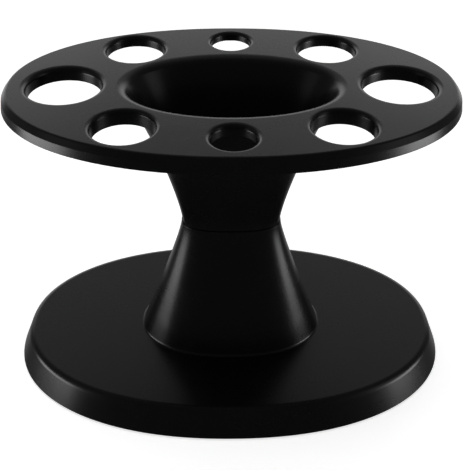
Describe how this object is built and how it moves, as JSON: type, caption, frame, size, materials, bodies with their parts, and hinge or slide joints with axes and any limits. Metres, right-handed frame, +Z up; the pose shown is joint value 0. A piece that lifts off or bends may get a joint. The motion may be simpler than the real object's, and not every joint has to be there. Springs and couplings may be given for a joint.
{
  "type": "hair tool holder",
  "caption": "Free-standing oval pedestal stand with round lipped holes that hold hair-tool barrels around a deep central accessory bowl.",
  "frame": {"origin": "on the ground under the middle of the base: the bottom centre of the bounding box", "axes": "+Z up, X along the long axis of the oval tray and base, Y along the short axis, front at -Y"},
  "size_m": [0.278, 0.1728, 0.194],
  "materials": {
    "shell_plastic": "satin-gloss black moulded plastic",
    "cover_plastic": "fine matt texture, black",
    "ballast_steel": "dark coated steel plate",
    "fastener_steel": "zinc-plated steel",
    "foot_rubber": "matt black rubber"
  },
  "bodies": {
    "root": {"upper_shell": "shell_plastic", "pedestal_shell": "shell_plastic", "bottom_cover": "cover_plastic", "ballast_plate": "ballast_steel", "neck_screw_left": "fastener_steel", "neck_screw_right": "fastener_steel", "neck_washer_left": "fastener_steel", "neck_washer_right": "fastener_steel", "cover_screw_1": "fastener_steel", "cover_screw_2": "fastener_steel", "cover_screw_3": "fastener_steel", "cover_screw_4": "fastener_steel", "cover_screw_5": "fastener_steel", "cover_screw_6": "fastener_steel", "foot_pad_1": "foot_rubber", "foot_pad_2": "foot_rubber", "foot_pad_3": "foot_rubber", "foot_pad_4": "foot_rubber", "foot_pad_5": "foot_rubber", "foot_pad_6": "foot_rubber"}
  },
  "joints": []
}
